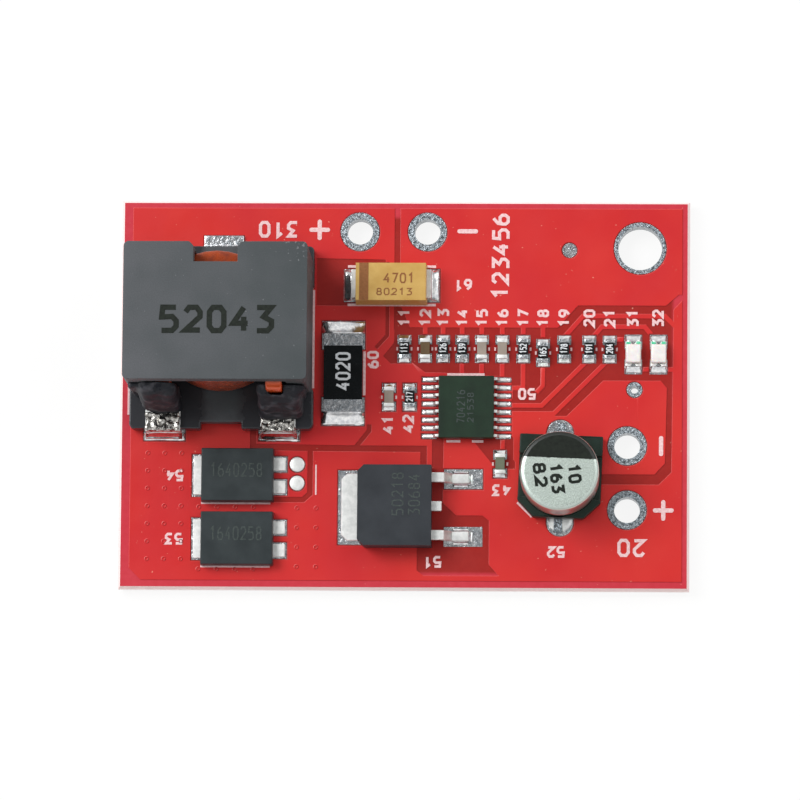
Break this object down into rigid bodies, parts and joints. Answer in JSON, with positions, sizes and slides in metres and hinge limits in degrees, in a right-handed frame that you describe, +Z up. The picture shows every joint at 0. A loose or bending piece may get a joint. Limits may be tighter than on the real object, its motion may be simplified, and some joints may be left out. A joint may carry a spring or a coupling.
{
  "type": "lithium battery charger module",
  "caption": "Small red lithium battery charger board with a ferrite-cored inductor, diodes, a transistor, capacitors and plated wire holes.",
  "frame": {"origin": "middle of the board's underside", "axes": "+X along the board towards the input wire holes, +Y towards the battery wire holes, +Z up out of the component side"},
  "size_m": [0.0454, 0.0312, 0.0122],
  "materials": {
    "laminate": "solder mask over glass-fibre laminate",
    "masked_copper": "copper under red solder mask",
    "white_print": "printed",
    "tinned_pad": "tinned",
    "solder": "bright solder",
    "tinned_metal": "tin plated",
    "ferrite": "fired, matt",
    "enamelled_copper": "clear enamel",
    "black_epoxy": "glossy",
    "black_glaze": "glazed top",
    "mustard_epoxy": "moulded",
    "dark_moulding": "moulded",
    "can_aluminium": "satin",
    "light_substrate": "white laminate",
    "light_lens": "cast clear",
    "brown_ceramic": "fired",
    "grey_ceramic": "fired",
    "green_ceramic": "fired",
    "black_ink": "printed",
    "brown_ink": "printed",
    "grey_ink": "laser marked"
  },
  "bodies": {
    "root": {"battery_minus_eyelet": "tinned_pad", "battery_plus_eyelet": "tinned_pad", "board": "laminate", "capacitor_end_caps": "tinned_metal", "ceramic_capacitor_1_body": "brown_ceramic", "ceramic_capacitor_2_body": "grey_ceramic", "ceramic_capacitor_3_body": "grey_ceramic", "ceramic_capacitor_4_body": "grey_ceramic", "ceramic_capacitor_5_body": "green_ceramic", "controller_body": "dark_moulding", "controller_leads": "tinned_metal", "diode_1_body": "dark_moulding", "diode_1_leads": "tinned_metal", "diode_1_tab": "tinned_metal", "diode_2_body": "dark_moulding", "diode_2_leads": "tinned_metal", "diode_2_tab": "tinned_metal", "electrolytic_base": "dark_moulding", "electrolytic_can": "can_aluminium", "electrolytic_leads": "tinned_metal", "inductor_coil": "enamelled_copper", "inductor_epoxy_left": "black_epoxy", "inductor_epoxy_right": "black_epoxy", "inductor_lower_core": "ferrite", "inductor_terminal_left": "tinned_metal", "inductor_terminal_rear": "tinned_metal", "inductor_terminal_right": "tinned_metal", "inductor_upper_core": "ferrite", "input_minus_eyelet": "tinned_pad", "input_plus_eyelet": "tinned_pad", "marks_black": "black_ink", "marks_brown": "brown_ink", "marks_grey": "grey_ink", "marks_white": "white_print", "masked_copper_top": "masked_copper", "mounting_hole_plating": "tinned_pad", "resistor_1_body": "black_glaze", "resistor_2_body": "black_glaze", "resistor_3_body": "black_glaze", "resistor_4_body": "black_glaze", "resistor_5_body": "black_glaze", "resistor_6_body": "black_glaze", "resistor_7_body": "black_glaze", "resistor_8_body": "black_glaze", "resistor_9_body": "black_glaze", "resistor_end_caps": "tinned_metal", "sense_resistor_body": "black_glaze", "sense_resistor_end_caps": "tinned_metal", "silkscreen_top": "white_print", "small_via_plating": "tinned_pad", "solder_joints": "solder", "status_light_lenses": "light_lens", "status_light_substrates": "light_substrate", "status_light_terminals": "tinned_metal", "tantalum_capacitor_body": "mustard_epoxy", "tantalum_capacitor_terminals": "tinned_metal", "tinned_pads_top": "tinned_pad", "transistor_body": "dark_moulding", "transistor_leads": "tinned_metal", "transistor_tab": "tinned_metal"}
  },
  "joints": []
}
